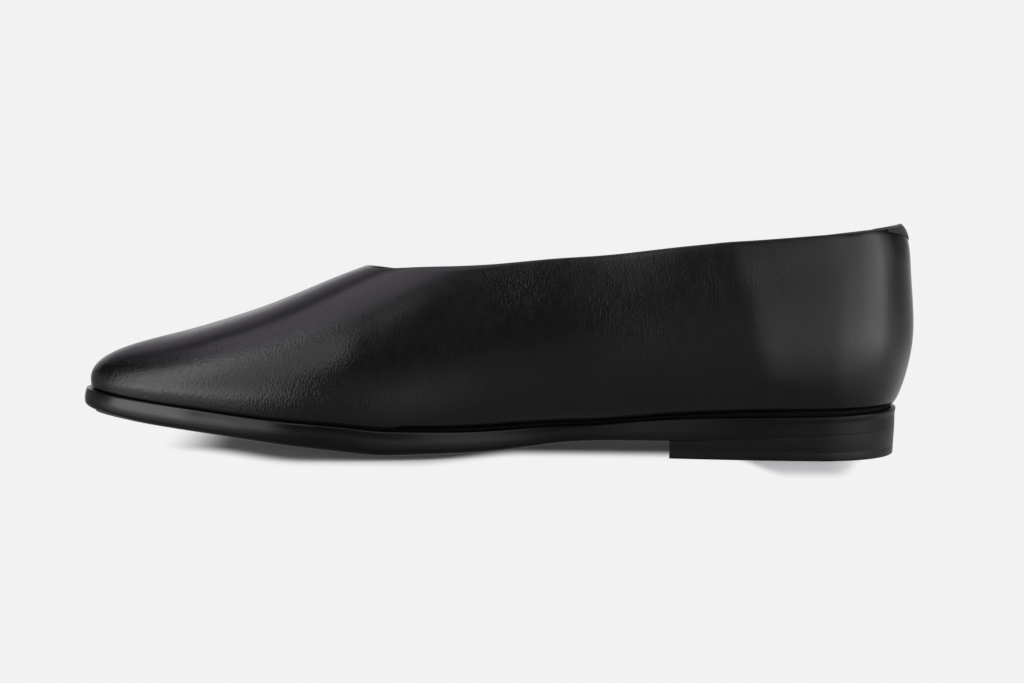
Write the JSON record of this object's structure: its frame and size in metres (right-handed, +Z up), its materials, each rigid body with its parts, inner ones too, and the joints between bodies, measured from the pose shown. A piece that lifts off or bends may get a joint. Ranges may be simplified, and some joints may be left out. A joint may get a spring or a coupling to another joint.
{
  "type": "ballet flat",
  "caption": "Right women's ballet flat: lasted leather upper with a high rounded throat, almond toe, thin outsole with toe spring and arch, and a low stacked heel.",
  "frame": {"origin": "middle of the footprint on the floor, under the shoe as it stands on its sole", "axes": "+X from the toe to the heel, +Y to the outer (lateral) side, +Z up from the floor"},
  "size_m": [0.2642, 0.082, 0.0744],
  "materials": {
    "outsole": "polished black edge",
    "heel": "satin black stacked leather",
    "midsole": "matte black",
    "insole": "soft matte black sock",
    "upper": "soft black leather with a fine pebble grain, satin",
    "heel_tab": "black leather, satin"
  },
  "bodies": {
    "root": {"outsole": "outsole", "heel": "heel", "midsole": "midsole", "insole": "insole", "upper": "upper", "heel_tab": "heel_tab"}
  },
  "joints": []
}
